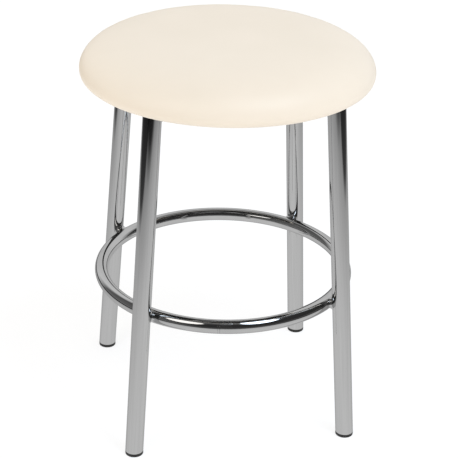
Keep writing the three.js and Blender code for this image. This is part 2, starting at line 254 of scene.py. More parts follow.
def face_out(piece):
    """Turns a closed piece's faces outwards."""
    work = bmesh.new()
    work.from_mesh(piece.data)
    bmesh.ops.recalc_face_normals(work, faces=work.faces)
    work.to_mesh(piece.data)
    work.free()
    return piece


def apply_modifiers(piece):
    graph = bpy.context.evaluated_depsgraph_get()
    mesh = bpy.data.meshes.new_from_object(piece.evaluated_get(graph), depsgraph=graph)
    piece.modifiers.clear()
    piece.data = mesh


def cut(piece, cutters):
    """Takes the cutters out of the piece, and deletes them."""
    for cutter in cutters:
        modifier = piece.modifiers.new("cut", "BOOLEAN")
        modifier.object = cutter
        modifier.operation = "DIFFERENCE"
        modifier.solver = "EXACT"
    apply_modifiers(piece)
    for cutter in cutters:
        bpy.data.objects.remove(cutter)
    return piece


def sharpen(piece):
    """Smooth shading that stops at sharp edges."""
    piece.data.shade_smooth()
    piece.data.set_sharp_from_angle(angle=math.radians(SHARP_EDGE_DEGREES))
    return piece


def quarter(across, up, radius, start, steps=4):
    """Points of a quarter circle in an outline, from a start angle in degrees."""
    angles = [math.radians(start + 90 * i / steps) for i in range(steps + 1)]
    return [(across + radius * math.cos(a), up + radius * math.sin(a)) for a in angles]


def rounding(half, low, radius, start, end, steps):
    """Points round the lower corner of an outline, from its side to its underside, between two angles
    in degrees."""
    angles = np.radians(np.linspace(start, end, steps))
    return [(half - radius * (1 - math.cos(a)), low + radius * (1 - math.sin(a))) for a in angles]


def ring_of(centre, radius, sides, aside=Vector((1, 0, 0)), along=Vector((0, 1, 0))):
    """Points round a circle in the plane of two directions."""
    angles = [2 * math.pi * i / sides for i in range(sides)]
    return [centre + aside * radius * math.cos(a) + along * radius * math.sin(a) for a in angles]


def lathe(name, outline, sides, middle=lambda height: Vector((0, 0, height)), lean=0, closed=False):
    """Turns an outline of (radius, height) about a line that may lean. Level slices of a leaning
    round bar are ellipses, longer along the lean."""
    aside = Vector((1 / math.cos(lean), 0, 0))
    rows = [ring_of(middle(height), radius, sides, aside) for radius, height in outline if radius > 0]
    if closed:
        return face_out(skin(name, rows, joined=True))
    first, last = middle(outline[0][1]), middle(outline[-1][1])
    return face_out(skin(name, rows, first=first, last=last))


def sweep(name, path, radii, sides):
    """A round bar along a path with a radius at each point, closed at both ends."""
    rows = []
    count = len(path)
    for i, point in enumerate(path):
        ahead = (path[min(i + 1, count - 1)] - path[max(i - 1, 0)]).normalized()
        if rows:
            aside = (aside - ahead * aside.dot(ahead)).normalized()
        else:
            aside = ahead.orthogonal().normalized()
        rows.append(ring_of(point, radii[i], sides, aside, ahead.cross(aside)))
    return face_out(skin(name, rows, first=path[0], last=path[-1]))


def merged(name, pieces):
    """Several pieces as one."""
    with bpy.context.temp_override(active_object=pieces[0], selected_editable_objects=pieces):
        bpy.ops.object.join()
    pieces[0].name = name
    return pieces[0]


def turn(piece, degrees):
    piece.data.transform(Matrix.Rotation(math.radians(degrees), 4, "Z"))
    return piece


def dress(piece, slot, material, *nodes):
    """Gives a piece its finish, and puts it in the place of the nodes that it stands for."""
    piece.data.materials.clear()
    piece.data.materials.append(material)
    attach(piece, "root")
    if nodes:
        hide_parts(*nodes)


def recoat(node, material):
    """Gives a node of the frame a new finish."""
    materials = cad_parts[node].data.materials
    materials.clear()
    materials.append(material)


# Materials

STREAKS_UP = (1, 1, 0.02)


def grey(level):
    return level, level, level


class Nodes:
    """A tree of shader nodes, with short ways to add one and join it up."""

    def __init__(self, tree):
        self.tree = tree

    def add(self, kind, inputs=None, **settings):
        node = self.tree.nodes.new(kind)
        for key, value in settings.items():
            setattr(node, key, value)
        for key, value in (inputs or {}).items():
            self.set(node.inputs[key], value)
        return node

    def set(self, socket, value):
        """Joins another node to a socket, or gives it a value. A colour is its red, green and blue."""
        if isinstance(value, bpy.types.NodeSocket):
            self.tree.links.new(value, socket)
        elif socket.type == "RGBA":
            socket.default_value = (*value, 1)
        else:
            socket.default_value = value

    def show(self, shader):
        """Makes a shader the result of the whole tree."""
        output = next(node for node in self.tree.nodes if node.type.startswith("OUTPUT"))
        self.tree.links.new(shader, output.inputs["Surface"])

    def place(self, stretch=(1, 1, 1)):
        """Where a point is on the object, in metres, stretched along each axis."""
        where = self.add("ShaderNodeTexCoord").outputs["Object"]
        return self.add("ShaderNodeMapping", {"Vector": where, "Scale": stretch}).outputs["Vector"]

    def noise(self, per_metre, place, detail=4, roughness=0.5):
        inputs = {"Vector": place, "Scale": per_metre, "Detail": detail, "Roughness": roughness}
        return self.add("ShaderNodeTexNoise", inputs).outputs["Fac"]

    def ranged(self, value, low, high, start=0.3, end=0.7):
        """Low up to the start, high from the end, and evenly between them. Most of a noise lies between
        the usual start and end."""
        inputs = {"Value": value, "From Min": start, "From Max": end, "To Min": low, "To Max": high}
        return self.add("ShaderNodeMapRange", inputs).outputs["Result"]

    def sum(self, operation, *values):
        return self.add("ShaderNodeMath", dict(enumerate(values)), operation=operation).outputs[0]

    def vectors(self, operation, *values):
        """A vector, or the number that a dot product or a length gives."""
        node = self.add("ShaderNodeVectorMath", dict(enumerate(values)), operation=operation)
        return node.outputs["Value" if operation in ("DOT_PRODUCT", "LENGTH") else "Vector"]

    def parts(self, vector):
        node = self.add("ShaderNodeSeparateXYZ", {0: vector})
        return node.outputs["X"], node.outputs["Y"], node.outputs["Z"]

    def blend(self, share, first, second):
        node = self.add("ShaderNodeMix", data_type="RGBA")
        sockets = {socket.identifier: socket for socket in node.inputs}
        for name, value in (("Factor_Float", share), ("A_Color", first), ("B_Color", second)):
            self.set(sockets[name], value)
        return next(socket for socket in node.outputs if socket.identifier == "Result_Color")

    def bump(self, height, depth, under=None):
        """A surface relief, its depth in metres."""
        inputs = {"Height": height, "Distance": depth}
        if under:
            inputs["Normal"] = under
        return self.add("ShaderNodeBump", inputs).outputs["Normal"]

    def rays(self, name):
        return self.add("ShaderNodeLightPath").outputs[name]

    def mirrored(self):
        """1 for what metal or glass shows, and 0 for the rest."""
        return self.sum("MAXIMUM", self.rays("Is Glossy Ray"), self.rays("Is Transmission Ray"))

    def chosen(self, share, first, second):
        """The first shader at 0, and the second at 1."""
        return self.add("ShaderNodeMixShader", {0: share, 1: first, 2: second}).outputs["Shader"]

    def both(self, first, second):
        return self.add("ShaderNodeAddShader", {0: first, 1: second}).outputs["Shader"]


class Shader(Nodes):
    """The nodes of a new material."""

    def __init__(self, name):
        self.material = bpy.data.materials.new(name)
        self.material.use_nodes = True
        super().__init__(self.material.node_tree)

    def finish(self, **inputs):
        """The material, with the inputs of its surface set by their names."""
        surface = self.tree.nodes["Principled BSDF"]
        for key, value in inputs.items():
            name = key.replace("_", " ").title().replace("Ior", "IOR")
            self.set(surface.inputs[name], value)
        return self.material


def up_the_legs(shader):
    """Where a point is, slid so that it hardly changes along a leaning leg."""
    place = shader.place()
    height = shader.vectors("DOT_PRODUCT", place, (0, 0, 1))
    out = shader.sum("MULTIPLY_ADD", height, -math.tan(LEG_LEAN), leg_out(0))
    scale = shader.sum("DIVIDE", leg_out(0), out)
    slid = shader.add("ShaderNodeVectorMath", {0: place, "Scale": scale}, operation="SCALE")
    return shader.vectors("MULTIPLY", slid.outputs["Vector"], STREAKS_UP)


def ground_patch(shader, middle, along, half):
    """1 inside a length of tube, and 0 away from it."""
    away = shader.vectors("SUBTRACT", shader.place(), middle)
    slid = shader.sum("ABSOLUTE", shader.vectors("DOT_PRODUCT", away, along))
    reach = shader.vectors("LENGTH", away)
    inside = shader.ranged(slid, 1, 0, half - SEAM_SHARPNESS, half)
    near = shader.ranged(reach, 1, 0, 3 * half, 3.1 * half)
    return shader.sum("MULTIPLY", inside, near)


def chrome(name, stretch=None, ground=None):
    """Bright plating: a faint haze and the drawn tube's streaks along its length, which run up the legs
    where no stretch is given. A ground patch on a tube is duller: its middle, the way along it, and half
    its length."""
    shader = Shader(name)
    place = shader.place(stretch) if stretch else up_the_legs(shader)
    haze = shader.noise(60, place, detail=3)
    streaks = shader.noise(900, place, detail=5, roughness=0.6)
    drawn = shader.noise(400, place)
    tone = shader.ranged(shader.sum("ADD", haze, drawn), 0, 1, 0.75, 1.25)
    roughness = shader.ranged(haze, 0.045, 0.085)
    normal = shader.bump(streaks, 0.004 * MM)
    if ground:
        patch = ground_patch(shader, *ground)
        scratches = shader.noise(2500, shader.place((1, 1, 0.2)), detail=3)
        scratched = shader.sum("MULTIPLY", patch, scratches)
        roughness = shader.sum("MULTIPLY_ADD", patch, 0.09, roughness)
        normal = shader.bump(scratched, 0.03 * MM, under=normal)
    return shader.finish(
        base_color=shader.blend(tone, grey(0.53), grey(0.58)),
        metallic=1.0,
        specular_tint=grey(0.62),
        roughness=roughness,
        normal=normal,
    )


def weld_metal():
    """Plating over a weld: the same metal, with small pits and ripples."""
    shader = Shader("weld_chrome")
    pits = shader.noise(900, shader.place(), detail=3)
    return shader.finish(
        base_color=shader.blend(shader.ranged(pits, 0, 1), grey(0.42), grey(0.60)),
        metallic=1.0,
        roughness=shader.ranged(pits, 0.09, 0.16),
        normal=shader.bump(pits, 0.03 * MM),
    )


def zinc():
    shader = Shader("zinc_plate")
    place = shader.place()
    cloud = shader.noise(260, place, detail=6)
    grain = shader.noise(4000, place, detail=2)
    return shader.finish(
        base_color=shader.blend(shader.ranged(cloud, 0, 1), (0.37, 0.38, 0.39), (0.50, 0.50, 0.49)),
        metallic=1.0,
        roughness=shader.ranged(cloud, 0.28, 0.45),
        normal=shader.bump(grain, 0.01 * MM),
    )


def black_plastic():
    shader = Shader("black_plastic")
    place = shader.place()
    grain = shader.noise(2500, place, detail=3)
    scuffs = shader.noise(300, place, detail=6, roughness=0.7)
    worn = shader.ranged(scuffs, 0, 1, 0.5, 0.8)
    return shader.finish(
        base_color=shader.blend(worn, (0.011, 0.011, 0.012), (0.032, 0.032, 0.033)),
        roughness=shader.ranged(scuffs, 0.42, 0.62),
        normal=shader.bump(grain, 0.03 * MM),
    )


def leatherette():
    """Embossed grain of small soft cells with finer creases between them, and slightly uneven in tone."""
    shader = Shader("cream_leatherette")
    place = shader.place()
    tone = shader.noise(9, place, detail=2)
    cells = {"Vector": place, "Scale": 850, "Smoothness": 0.35}
    pebbles = shader.add("ShaderNodeTexVoronoi", cells, feature="SMOOTH_F1").outputs["Distance"]
    creases = shader.noise(2600, place, detail=3)
    relief = shader.bump(pebbles, 0.045 * MM)
    return shader.finish(
        base_color=shader.blend(shader.ranged(tone, 0, 1), (0.888, 0.848, 0.785), (0.913, 0.872, 0.812)),
        roughness=shader.ranged(creases, 0.46, 0.56),
        diffuse_roughness=0.7,
        specular_ior_level=0.8,
        normal=shader.bump(creases, 0.012 * MM, under=relief),
    )


def dust_cloth_weave():
    """Black non-woven cloth: pressed fibres in a fine dimpled pattern."""
    shader = Shader("black_dust_cloth")
    cells = {"Vector": shader.place(), "Scale": 700}
    dimples = shader.add("ShaderNodeTexVoronoi", cells).outputs["Distance"]
    fibres = shader.noise(3000, shader.place((1, 0.3, 1)))
    return shader.finish(
        base_color=shader.blend(shader.ranged(fibres, 0, 1), (0.008, 0.008, 0.009), (0.026, 0.026, 0.027)),
        roughness=0.9,
        specular_ior_level=0.12,
        normal=shader.bump(dimples, 0.12 * MM),
    )


def foam():
    """Cut foam: open cells, and a tone that drifts."""
    shader = Shader("cut_foam")
    place = shader.place()
    cells = shader.add("ShaderNodeTexVoronoi", {"Vector": place, "Scale": 1300}).outputs["Distance"]
    tone = shader.noise(40, place)
    return shader.finish(
        base_color=shader.blend(shader.ranged(tone, 0, 1), (0.78, 0.65, 0.34), (0.84, 0.73, 0.43)),
        roughness=0.95,
        normal=shader.bump(cells, 0.25 * MM),
    )


def plywood():
    """Rotary-cut face veneer: long wavering grain, fine pores, and a warmer tone in bands."""
    shader = Shader("plywood")
    place = shader.place((1, 0.09, 1))
    drift = shader.noise(14, place, detail=2)
    bend = shader.vectors("ADD", place, drift)
    bands = shader.noise(70, bend, detail=5, roughness=0.6)
    pores = shader.noise(1600, place, detail=3)
    tint = shader.blend(shader.ranged(bands, 0, 1), (0.63, 0.43, 0.21), (0.50, 0.30, 0.125))
    return shader.finish(
        base_color=shader.blend(shader.ranged(pores, 0, 0.35, 0.55, 0.75), tint, (0.33, 0.18, 0.07)),
        roughness=shader.ranged(bands, 0.62, 0.78),
        normal=shader.bump(pores, 0.05 * MM),
    )


def seam_patch():
    """Where the ring's butt weld is ground off: its middle, the way along the tube and half its length."""
    angle = math.radians(RING_SEAM_DEGREES - SEAM_LENGTH_DEGREES / 2)
    middle = (RING_RADIUS * math.cos(angle), RING_RADIUS * math.sin(angle), RING_HEIGHT)
    along = (-math.sin(angle), math.cos(angle), 0)
    return middle, along, math.radians(SEAM_LENGTH_DEGREES / 2) * RING_RADIUS


LEG_CHROME = chrome("leg_chrome")
RING_CHROME = chrome("ring_chrome", (0.12, 0.12, 0.12), seam_patch())
RAIL_CHROME = chrome("rail_chrome", (0.2, 0.2, 0.2))
DUST_CLOTH = dust_cloth_weave()
WELD_CHROME = weld_metal()
ZINC = zinc()
PLASTIC = black_plastic()
LEATHERETTE = leatherette()
FOAM = foam()
PLYWOOD = plywood()


# Frame pieces

def leg_middle(height):
    return Vector((leg_out(height), 0, height))


def wall_outline(outer, bore, low, high, edge, support):
    """The closed outline of a tube's wall with its edges rounded. Extra points beside the roundings
    keep the long faces flat."""
    return [
        *quarter(outer - edge, high - edge, edge, 0),
        *quarter(bore + edge, high - edge, edge, 90),
        (bore, high - support),
        (bore, low + support),
        *quarter(bore + edge, low + edge, edge, 180),
        *quarter(outer - edge, low + edge, edge, 270),
        (outer, low + support),
        (outer, high - support),
    ]


def make_leg(corner):
    bore = LEG_RADIUS - LEG_WALL
    outline = wall_outline(LEG_RADIUS, bore, LEG_LOW, LEG_HIGH, TUBE_EDGE, TUBE_SUPPORT)
    leg = lathe(f"leg_{corner}_tube", outline, TUBE_SIDES, leg_middle, LEG_LEAN, closed=True)
    dress(turn(leg, CORNERS[corner]), "chrome", LEG_CHROME, f"leg_{corner}")


def make_glide(corner):
    """A moulded pad with a rounded lower edge, and a plug up into the tube."""
    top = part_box(f"foot_glide_{corner}")[1].z
    pad = LEG_LOW - GLIDE_GAP
    plug = LEG_RADIUS - LEG_WALL - PLUG_CLEARANCE
    outline = [
        (0, 0),
        (LEG_RADIUS - 2 * GLIDE_EDGE, 0),
        *quarter(LEG_RADIUS - GLIDE_EDGE, GLIDE_EDGE, GLIDE_EDGE, 270, 8),
        (LEG_RADIUS, pad - GLIDE_STEP),
        (LEG_RADIUS - GLIDE_STEP, pad),
        (plug, pad),
        (plug, top - PLUG_EDGE),
        (plug - PLUG_EDGE, top),
        (0, top),
    ]

    def glide_middle(height):
        """Upright under the tube, and leaning inside it."""
        return Vector((leg_out(max(height, pad)), 0, height))

    glide = lathe(f"glide_{corner}", outline, TUBE_SIDES, glide_middle)
    dress(sharpen(turn(glide, CORNERS[corner])), "plastic", PLASTIC, f"foot_glide_{corner}")


def seam_relief(degrees):
    """How far the ring stands proud at its butt weld, which is ground off between two fine ridges."""
    relief = 0
    for ridge_degrees, height in ((0, SEAM_RIDGE), (-SEAM_LENGTH_DEGREES, SEAM_RIDGE / 2)):
        away = math.radians(degrees - ridge_degrees) * RING_RADIUS
        relief += height * math.exp(-((away / SEAM_SHARPNESS) ** 2))
    return relief


def make_ring():
    """One bent tube. Its points crowd together at the seam, so that the ridges come out clean."""
    angles = set(np.linspace(-180, 180, RING_STEPS, endpoint=False))
    for centre in (0, -SEAM_LENGTH_DEGREES):
        crowd = (centre - SEAM_CROWD_DEGREES, centre + SEAM_CROWD_DEGREES, SEAM_CROWD_STEPS)
        angles.update(np.linspace(*crowd))
    rows = []
    for degrees in sorted(angles):
        angle = math.radians(RING_SEAM_DEGREES + degrees)
        out = Vector((math.cos(angle), math.sin(angle), 0))
        middle = out * RING_RADIUS + Vector((0, 0, RING_HEIGHT))
        radius = RING_TUBE_RADIUS + seam_relief(degrees)
        rows.append(ring_of(middle, radius, RING_SIDES, out, Vector((0, 0, 1))))
    ring = face_out(skin("foot_ring_tube", rows, joined=True))
    dress(ring, "chrome", RING_CHROME, "foot_ring")


def ball_between(direction, radius):
    """The middle of a ball that touches ring and leg, on one side of the point where they meet, with
    the directions from it to both."""
    meet = Vector((RING_RADIUS, 0, RING_HEIGHT)) + LEG_OUT * RING_TUBE_RADIUS
    foot = leg_middle(0)

    def to_leg(point):
        return foot + LEG_UP * (point - foot).dot(LEG_UP) - point

    def to_ring(point):
        flat = Vector((point.x, point.y, 0)).normalized() * RING_RADIUS
        return flat + Vector((0, 0, RING_HEIGHT)) - point

    def misses(reach, rise):
        point = meet + direction * reach + LEG_OUT * rise
        return np.array([
            to_leg(point).length - LEG_RADIUS - radius,
            to_ring(point).length - RING_TUBE_RADIUS - radius,
        ])

    guess = np.array([2 * math.sqrt(LEG_RADIUS * radius), 0.0])
    step = 0.001 * MM
    rounds = 12
    for _ in range(rounds):
        here = misses(*guess)
        slopes = np.column_stack([(misses(*(guess + d)) - here) / step for d in step * np.eye(2)])
        guess = guess - np.linalg.solve(slopes, here)
    point = meet + direction * guess[0] + LEG_OUT * guess[1]
    return point, to_ring(point).normalized(), to_leg(point).normalized()


def make_ring_weld(corner):
    """A rolling-ball fillet all round the point where the ring meets the leg, with a welder's ripples."""
    rippled = random.Random(corner)
    *swell_phases, ripple_phase = [rippled.uniform(0, 2 * math.pi) for _ in range(3)]
    columns = []
    for i in range(WELD_COLUMNS):
        angle = 2 * math.pi * i / WELD_COLUMNS
        direction = Vector((0, 1, 0)) * math.cos(angle) + LEG_UP * math.sin(angle)
        swells = zip(WELD_SWELLS.items(), swell_phases)
        swell = sum(size * math.sin(waves * angle + phase) for (waves, size), phase in swells)
        radius = FILLET_RADIUS * (1 + swell)
        middle, to_ring, to_leg = ball_between(direction, radius)
        ripple = 0.5 + 0.5 * math.sin(WELD_RIPPLE_COUNT * angle + 2 * math.sin(angle + ripple_phase))
        column = [middle + to_ring * (radius + WELD_SKIN)]
        for k in range(WELD_ARC_STEPS + 1):
            share = k / WELD_ARC_STEPS
            toward = to_ring.slerp(to_leg, share)
            crest = math.sin(math.pi * share) ** 2 * (WELD_CREST + WELD_RIPPLE * ripple)
            column.append(middle + toward * (radius - crest))
        column.append(middle + to_leg * (radius + WELD_SKIN))
        columns.append(column)
    rows = [list(row) for row in zip(*columns)]
    meet = Vector((RING_RADIUS, 0, RING_HEIGHT)) + LEG_OUT * RING_TUBE_RADIUS
    ends = [meet + LEG_OUT * side * WELD_SKIN for side in (-1, 1)]
    weld = skin(f"ring_fillet_{corner}", rows, first=ends[0], last=ends[1])
    dress(turn(face_out(weld), CORNERS[corner]), "chrome", WELD_CHROME, f"ring_weld_{corner}")


# Rails under the seat

def rail_loop(width, depth, corner):
    """A rounded rectangle, (across, up) from its middle."""
    x, y = width / 2 - corner, depth / 2 - corner
    loop = []
    for across, up, start in ((x, y, 0), (-x, y, 90), (-x, -y, 180), (x, -y, 270)):
        loop.extend(quarter(across, up, corner, start, 6))
    return loop


def make_rail(name, node, start, end, turned):
    """A length of rectangular tube, coped round the legs it meets and drilled for its screws."""
    outside = rail_loop(RAIL_WIDTH, RAIL_DEPTH, RAIL_CORNER)
    inside = rail_loop(RAIL_WIDTH - 2 * RAIL_WALL, RAIL_DEPTH - 2 * RAIL_WALL, RAIL_CORNER - RAIL_WALL)
    rows = []
    for x, loop in ((start, outside), (end, outside), (end, inside), (start, inside)):
        rows.append([Vector((x, across, RAIL_MIDDLE + up)) for across, up in loop])
    rail = face_out(skin(name, rows, joined=True))
    cutters = []
    for half_turn in (0, 180) if start < 0 else (0,):
        outline = [(0, -LEG_HIGH), (LEG_RADIUS, -LEG_HIGH), (LEG_RADIUS, 2 * LEG_HIGH), (0, 2 * LEG_HIGH)]
        cutters.append(turn(lathe("leg_cutter", outline, TUBE_SIDES, leg_middle, LEG_LEAN), half_turn))
        cutters.append(turn(screw_drill(SCREW_HOLE_RADIUS), half_turn))
    cut(rail, cutters)
    dress(sharpen(turn(rail, turned)), "chrome", RAIL_CHROME, node)


def screw_drill(radius):
    """A long drill on the line of a corner's screw."""
    drill = lathe("drill", [(0, 0), (radius, 0), (radius, 1), (0, 1)], DRILL_SIDES)
    drill.data.transform(Matrix.Translation((SCREW_OUT, 0, 0)))
    return drill


def lay_bead(name, path, scales):
    """A weld bead along a path: overlapping scales, tapering to rounded ends."""
    radii = []
    for i in range(len(path)):
        share = i / (len(path) - 1)
        scale = abs(math.sin(math.pi * scales * share))
        taper = max(BEAD_TIP, min(1, BEAD_TAPER * math.sin(math.pi * share) ** 0.5))
        radii.append(BEAD_RADIUS * taper * (1 - BEAD_SCALE_DEPTH * (1 - scale)))
    return sweep(name, path, radii, BEAD_SIDES)


def make_rail_weld(corner):
    """A bead up one side of a rail's end, under it and up the other side, laid against the leg."""
    half = RAIL_WIDTH / 2
    side = [(half, z) for z in np.linspace(LEG_HIGH - BEAD_RADIUS, RAIL_BOTTOM + RAIL_CORNER, 14)]
    side += rounding(half, RAIL_BOTTOM, RAIL_CORNER, 10, 80, 6)
    under = [(y, RAIL_BOTTOM) for y in np.linspace(-half + RAIL_CORNER, half - RAIL_CORNER, 40)]
    path = []
    for y, z in [(-y, z) for y, z in side] + under + side[::-1]:
        path.append(Vector((leg_out(z) - math.sqrt(LEG_RADIUS ** 2 - y ** 2), y, z)))
    bead = lay_bead(f"rail_bead_{corner}", path, RAIL_BEAD_SCALES)
    dress(turn(bead, CORNERS[corner]), "chrome", WELD_CHROME, f"rail_weld_{corner}")


def make_cross_weld(side):
    """A bead up the corner between two rails."""
    corner = RAIL_WIDTH / 2
    heights = np.linspace(RAIL_BOTTOM + CROSS_BEAD_INSET, LEG_HIGH - CROSS_BEAD_INSET, 24)
    path = [Vector((corner, corner, z)) for z in heights]
    bead = lay_bead(f"cross_bead_{side}", path, CROSS_BEAD_SCALES)
    dress(turn(bead, CROSS_WELDS[side]), "chrome", WELD_CHROME, f"cross_weld_{side}")


# Fixings

washer_low, washer_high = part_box("washer_rear_right")
WASHER_RADIUS = (washer_high.x - washer_low.x) / 2
WASHER_BOTTOM, WASHER_TOP = washer_low.z, washer_high.z
SCREW_OUT = ((washer_low + washer_high) / 2).xy.length


def make_washer(corner):
    heights = (WASHER_BOTTOM, WASHER_TOP)
    outline = wall_outline(WASHER_RADIUS, SCREW_HOLE_RADIUS, *heights, WASHER_EDGE, WASHER_SUPPORT)
    washer = lathe(f"flat_washer_{corner}", outline, FIXING_SIDES, closed=True)
    washer.data.transform(Matrix.Translation((SCREW_OUT, 0, 0)))
    dress(turn(washer, CORNERS[corner]), "zinc", ZINC, f"washer_{corner}")


def recess_arm(tip, across, along):
    """One arm of a head's cross recess, which narrows upwards from the head's tip."""
    rows = []
    for rise, share_x, share_y in RECESS_LEVELS:
        x, y = share_x * across / 2, share_y * along / 2
        corners = ((x, y), (-x, y), (-x, -y), (x, -y))
        rows.append([Vector((*corner, tip + rise)) for corner in corners])
    middles = [sum(row, Vector()) / len(row) for row in rows]
    return face_out(skin("recess", rows, first=middles[0], last=middles[-1]))


def make_screw(corner):
    """A pan head screw with a cross recess, seen from below."""
    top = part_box(f"seat_screw_{corner}")[1].z
    seat = WASHER_BOTTOM
    tip = seat - HEAD_HEIGHT
    angles = np.radians(np.linspace(0, 90, 12))
    dome = [(HEAD_RADIUS * math.sin(a), tip + (HEAD_HEIGHT - HEAD_RIM) * (1 - math.cos(a))) for a in angles]
    outline = [
        *dome,
        (HEAD_RADIUS, seat - HEAD_EDGE),
        (HEAD_RADIUS - HEAD_EDGE, seat),
        (SCREW_RADIUS, seat),
        (SCREW_RADIUS, top - SCREW_POINT),
        (SCREW_RADIUS - SCREW_POINT, top),
        (0, top),
    ]
    screw = lathe(f"pan_head_{corner}", outline, FIXING_SIDES)
    cut(screw, [recess_arm(tip, RECESS_SPAN, RECESS_WIDTH), recess_arm(tip, RECESS_WIDTH, RECESS_SPAN)])
    screw.data.transform(Matrix.Rotation(chance.uniform(0, math.pi), 4, "Z"))
    screw.data.transform(Matrix.Translation((SCREW_OUT, 0, 0)))
    dress(sharpen(turn(screw, CORNERS[corner])), "zinc", ZINC, f"seat_screw_{corner}")


# Seat

def crown_height(radius):
    share = (radius / SEAT_RADIUS) ** CROWN_POWER
    return SEAT_WIDEST + SEAT_RISE * (1 - share) ** (1 / SHOULDER_POWER)


def seat_outline():
    """(radius, height) of the cover's outside, from its folded edge under the board, round the lower
    edge and the widest line, to the edge of the cap. The points are evenly spaced along it."""
    corner = SEAT_RADIUS - SEAT_TUCK
    bend = np.linspace(0, math.pi / 2, 60)[1:]
    inward = np.linspace(0, 1, 1500)[1:] ** 3
    dense = [(FOLD_RADIUS, SEAT_BOTTOM), (corner, SEAT_BOTTOM)]
    dense += [(corner + SEAT_TUCK * math.sin(a), SEAT_WIDEST - SEAT_SKIRT * math.cos(a)) for a in bend]
    dense += [(r, crown_height(r)) for r in SEAT_RADIUS - (SEAT_RADIUS - CAP_RADIUS) * inward]
    dense = np.array(dense)
    lengths = np.concatenate([[0], np.cumsum(np.linalg.norm(np.diff(dense, axis=0), axis=1))])
    even = np.linspace(0, lengths[-1], round(lengths[-1] / SEAT_ROW_STEP) + 1)
    return np.column_stack([np.interp(even, lengths, dense[:, axis]) for axis in (0, 1)])


def inset_outline(outline, inset):
    """The outline moved inwards by a distance, except under the board."""
    ahead = np.gradient(outline, axis=0)
    inward = np.column_stack([-ahead[:, 1], ahead[:, 0]])
    inward /= np.linalg.norm(inward, axis=1)[:, None]
    below = outline[:, 1] <= SEAT_BOTTOM + SAME_LEVEL
    return np.where(below[:, None], outline, outline + inward * inset)


def cap_of(start, lift):
    """Points and faces that fill a round opening of SEAT_SECTORS points with a square grid, bent so that
    its nested squares are circles. The opening's own points are numbered from start, and the cap lies
    lower than the crown by the lift."""
    points, faces = [], []
    outer = list(range(start, start + SEAT_SECTORS))
    fresh = start + SEAT_SECTORS
    for size in range(CAP_RINGS - 1, -1, -1):
        radius = CAP_RADIUS * size / CAP_RINGS
        middle = Vector((0, 0, crown_height(radius) - lift))
        ring = ring_of(middle, radius, 8 * size) if size else [middle]
        inner = list(range(fresh, fresh + len(ring)))
        points += ring
        fresh += len(ring)
        side, less = len(outer) // 4, len(inner) // 4
        for s in range(4):
            a, b = s * side, s * less
            faces.append((outer[a - 1], outer[a], outer[a + 1], inner[b]))
            for t in range(1, side - 1):
                near, far = inner[b + t - 1], inner[(b + t) % len(inner)]
                faces.append((outer[a + t], outer[(a + t + 1) % len(outer)], far, near))
        outer = inner
    return points, faces


def cover_skin(name, rows, lift=0.0):
    """The cover as one sheet: its rows, and the cap over their last one."""
    cover = skin(name, rows)
    points, faces = cap_of((len(rows) - 1) * SEAT_SECTORS, lift)
    every = [v.co for v in cover.data.vertices] + points
    faces = [tuple(f.vertices) for f in cover.data.polygons] + faces
    bpy.data.objects.remove(cover)
    return add_mesh(name, every, faces)


def staple_angles():
    """Evenly spaced, and none where a leg presses against the cover."""
    angles = [360 / STAPLE_COUNT * (i + 0.5) for i in range(STAPLE_COUNT)]
    return [a for a in angles if abs(a % 90 - 45) > LEG_KEEPS_CLEAR_DEGREES]


def inflated(cover):
    """The cover's points, blown up by its filling, with its folded edge held and its staples fast."""
    held = cover.vertex_groups.new(name="held")
    held_rows = round(STAPLE_INSET / SEAT_ROW_STEP)
    sector = 360 / SEAT_SECTORS
    stapled = {round(a / sector + k) % SEAT_SECTORS for a in staple_angles() for k in (-1, 0, 1)}
    for row in range(held_rows + 3):
        columns = range(SEAT_SECTORS) if row < held_rows else stapled
        held.add([row * SEAT_SECTORS + j for j in columns], 1.0, "REPLACE")
    cloth = cover.modifiers.new("cloth", "CLOTH")
    settings = cloth.settings
    settings.quality = 5
    settings.mass = 0.4
    settings.tension_stiffness = 25
    settings.compression_stiffness = 25
    settings.shear_stiffness = 12
    settings.bending_stiffness = 1.5
    settings.use_pressure = True
    settings.uniform_pressure_force = 4
    settings.effector_weights.gravity = 0
    settings.vertex_group_mass = "held"
    cloth.collision_settings.use_collision = False
    for number in range(1, INFLATING_FRAMES + 1):
        scene.frame_set(number)
    apply_modifiers(cover)
    scene.frame_set(1)
    return np.array([v.co for v in cover.data.vertices])


def settled(outline):
    """Rows of the cover's points on the measured outline, with the unevenness that the inflated cover
    has from staple to staple. It fades out towards the cap."""
    slack = inset_outline(outline, SEAT_SWELL)
    rows = [ring_of(Vector((0, 0, height)), radius, SEAT_SECTORS) for radius, height in slack]
    trial = cover_skin("cover_trial", rows, SEAT_SWELL)
    points = inflated(trial)[:len(rows) * SEAT_SECTORS].reshape(len(rows), SEAT_SECTORS, 3)
    bpy.data.objects.remove(trial)
    across = np.hypot(points[:, :, 0], points[:, :, 1])
    uneven = np.stack([across, points[:, :, 2]], axis=2)
    uneven -= uneven.mean(axis=1, keepdims=True)
    uneven *= min(1, SEAT_UNEVENNESS / np.abs(uneven).max())
    fade = np.clip((outline[:, 0] - CAP_RADIUS) / (SEAT_RADIUS - CAP_RADIUS), 0, 1) ** 0.5
    placed = outline[:, None, :] + uneven * fade[:, None, None]
    angles = 2 * math.pi * np.arange(SEAT_SECTORS) / SEAT_SECTORS
    return [
        [Vector((r * math.cos(a), r * math.sin(a), max(z, SEAT_BOTTOM))) for (r, z), a in zip(row, angles)]
        for row in placed
    ]


